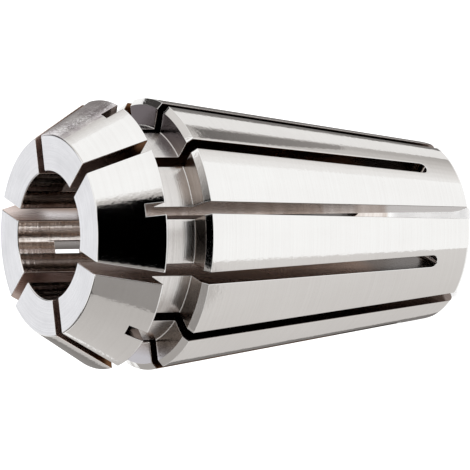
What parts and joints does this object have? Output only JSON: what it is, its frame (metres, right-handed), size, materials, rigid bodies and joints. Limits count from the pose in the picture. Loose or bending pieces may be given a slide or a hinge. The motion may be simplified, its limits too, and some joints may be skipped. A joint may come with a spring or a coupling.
{
  "type": "spring collet",
  "caption": "Tapered spring collet of ground steel with slots from both ends, which grips an 8 mm round shank in a tool holder.",
  "frame": {"origin": "centre of the bore in the plane of the rear face, which the collet stands on", "axes": "+Z along the bore towards the nose, +X through the middle of the metal between a slot that is open at the front and one that is open at the rear"},
  "size_m": [0.017, 0.017, 0.0275],
  "materials": {
    "ground_steel": "hardened spring steel, ground and polished on its tapers, turned in its groove and bore"
  },
  "bodies": {
    "root": {"collet": "ground_steel"}
  },
  "joints": []
}
